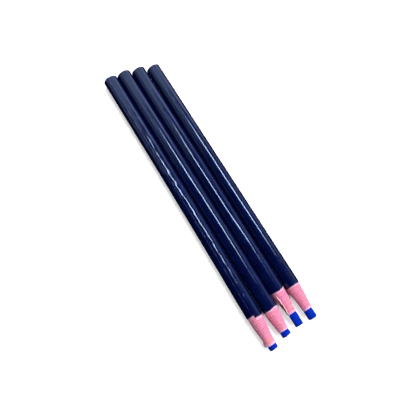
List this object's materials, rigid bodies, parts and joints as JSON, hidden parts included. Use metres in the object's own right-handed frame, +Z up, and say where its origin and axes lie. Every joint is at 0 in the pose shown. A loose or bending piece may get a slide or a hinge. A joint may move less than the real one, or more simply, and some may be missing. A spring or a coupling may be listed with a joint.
{
  "type": "peel-off tailors chalk pencils",
  "caption": "Slim round tailor's chalk pencils side by side: blue chalk core, pink paper roll with a peeled taper, pull thread and glossy navy sleeve.",
  "frame": {"origin": "centre of the set's footprint, on the table that the pencils lie on", "axes": "+X from the flat back ends to the chalk tips, along pencil 2; +Y from pencil 1 to pencil 4; +Z up from the table"},
  "size_m": [0.1718, 0.0344, 0.0082],
  "materials": {
    "navy_sleeve": "gloss coated paper, dark navy",
    "pink_paper": "matte dyed paper, pink, layer edges showing",
    "blue_chalk": "matte pressed chalk, royal blue",
    "thread": "matte twisted thread, off-white"
  },
  "bodies": {
    "pencil_2": {"outer_sleeve_2": "navy_sleeve", "paper_roll_2": "pink_paper", "chalk_core_2": "blue_chalk"},
    "pencil_1": {"outer_sleeve_1": "navy_sleeve", "paper_roll_1": "pink_paper", "chalk_core_1": "blue_chalk"},
    "pencil_3": {"outer_sleeve_3": "navy_sleeve", "paper_roll_3": "pink_paper", "chalk_core_3": "blue_chalk"},
    "pencil_4": {"outer_sleeve_4": "navy_sleeve", "paper_roll_4": "pink_paper", "chalk_core_4": "blue_chalk"},
    "thread_1": {"pull_thread_1": "thread"},
    "thread_2": {"pull_thread_2": "thread"},
    "thread_3": {"pull_thread_3": "thread"},
    "thread_4": {"pull_thread_4": "thread"}
  },
  "joints": [
    {"name": "pencil_1_lift", "type": "slide", "parent": "pencil_2", "child": "pencil_1", "axis": [0, 0, 1], "range_m": [0, 0.05]},
    {"name": "pencil_3_lift", "type": "slide", "parent": "pencil_2", "child": "pencil_3", "axis": [0, 0, 1], "range_m": [0, 0.05]},
    {"name": "pencil_4_lift", "type": "slide", "parent": "pencil_2", "child": "pencil_4", "axis": [0, 0, 1], "range_m": [0, 0.05]},
    {"name": "thread_1_pull", "type": "slide", "parent": "pencil_1", "child": "thread_1", "axis": [1, -0.0046, 0], "range_m": [0, 0.012]},
    {"name": "thread_2_pull", "type": "slide", "parent": "pencil_2", "child": "thread_2", "axis": [1, 0, 0], "range_m": [0, 0.012]},
    {"name": "thread_3_pull", "type": "slide", "parent": "pencil_3", "child": "thread_3", "axis": [1, -0.0007, 0], "range_m": [0, 0.012]},
    {"name": "thread_4_pull", "type": "slide", "parent": "pencil_4", "child": "thread_4", "axis": [1, 0, 0], "range_m": [0, 0.012]}
  ]
}
